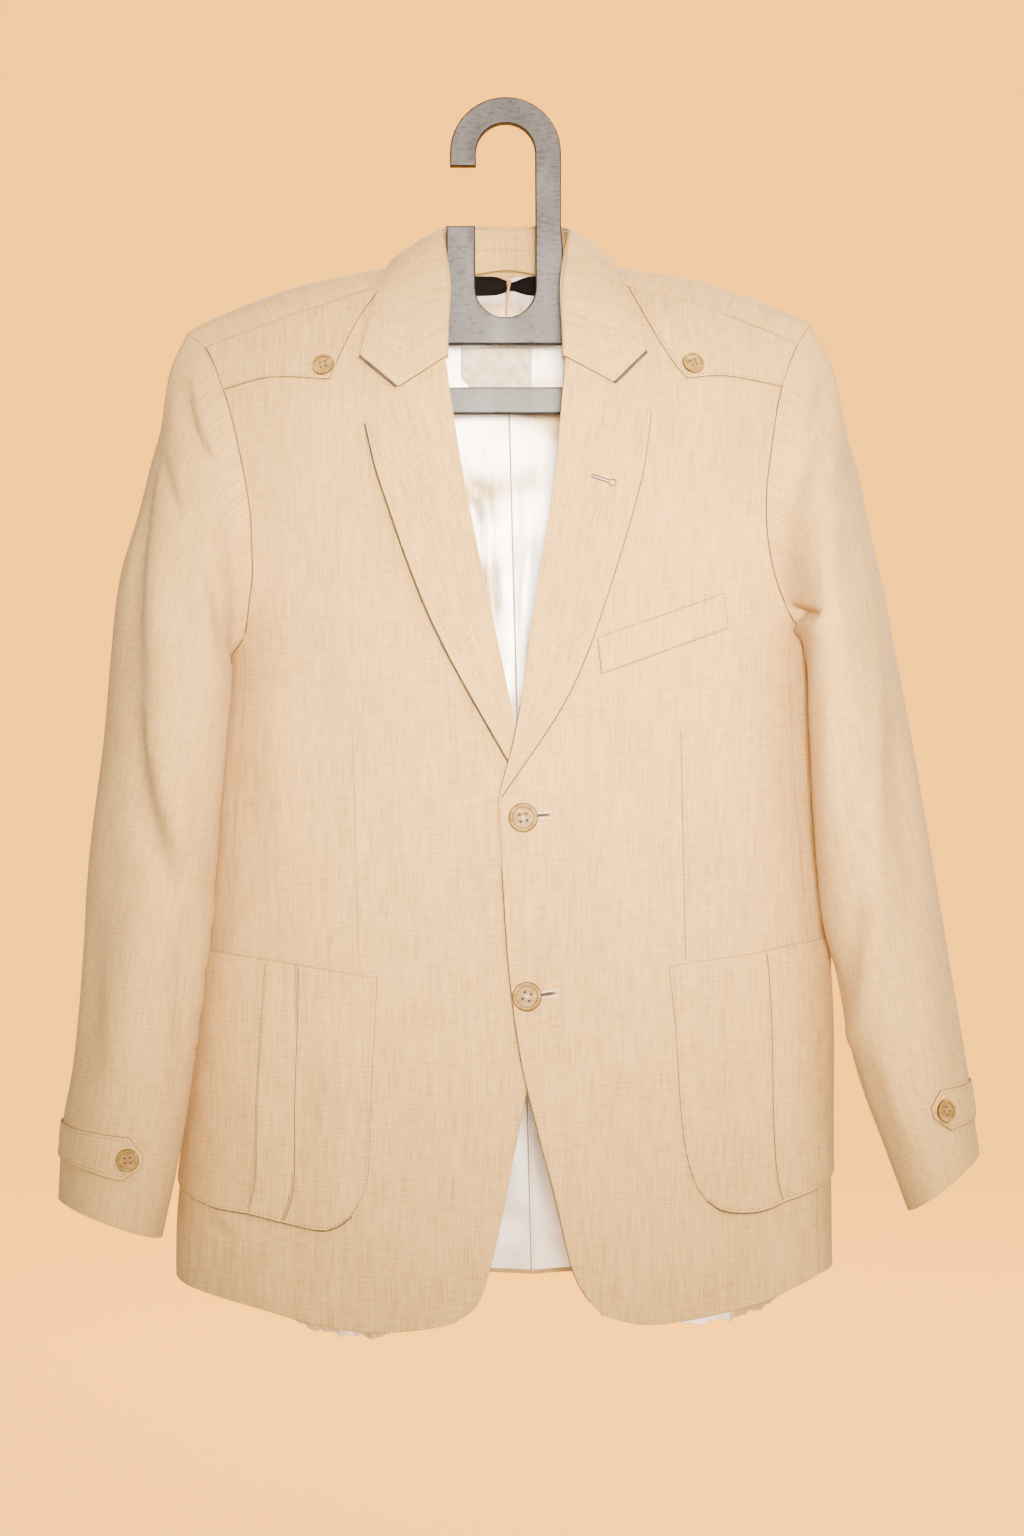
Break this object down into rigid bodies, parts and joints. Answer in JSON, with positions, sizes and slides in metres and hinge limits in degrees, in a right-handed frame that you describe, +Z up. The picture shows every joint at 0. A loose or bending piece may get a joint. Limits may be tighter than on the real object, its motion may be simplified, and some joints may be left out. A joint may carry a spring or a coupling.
{
  "type": "two-button blazer on a hanger",
  "caption": "Beige linen two-button blazer with notch lapels, yoke flaps, pleated patch pockets and cuff tabs, hanging buttoned on a flat grey plastic hanger",
  "frame": {"origin": "Seat of the hanger's hook, the highest point inside its bend, where a rail carries it.", "axes": "+Z up along the blazer's length, +X to the wearer's left, +Y to the wearer's back; the front faces -Y."},
  "size_m": [0.6501, 0.1754, 0.8793],
  "materials": {
    "linen": "matte plain weave with slubs",
    "lining": "satin sheen",
    "patch": "matte",
    "label": "matte",
    "button": "polished",
    "hanger": "scuffed satin"
  },
  "bodies": {
    "root": {"front_right": "linen", "front_left": "linen", "side_right": "linen", "side_left": "linen", "back_right": "linen", "back_left": "linen", "sleeve_upper_right": "linen", "sleeve_upper_left": "linen", "sleeve_under_right": "linen", "sleeve_under_left": "linen", "lapel_right": "linen", "lapel_left": "linen", "collar_leaf": "linen", "collar_stand": "linen", "yoke_flap_right": "linen", "yoke_flap_left": "linen", "pocket_right": "linen", "pocket_left": "linen", "breast_welt": "linen", "cuff_tab_right": "linen", "cuff_tab_left": "linen", "neck_loop": "linen", "lining_back_right": "lining", "lining_back_left": "lining", "lining_front_right": "lining", "lining_front_left": "lining", "lining_patch": "patch", "neck_label": "label", "button_front_upper": "button", "button_front_lower": "button", "button_yoke_right": "button", "button_yoke_left": "button", "button_cuff_right": "button", "button_cuff_left": "button", "hanger": "hanger"}
  },
  "joints": []
}
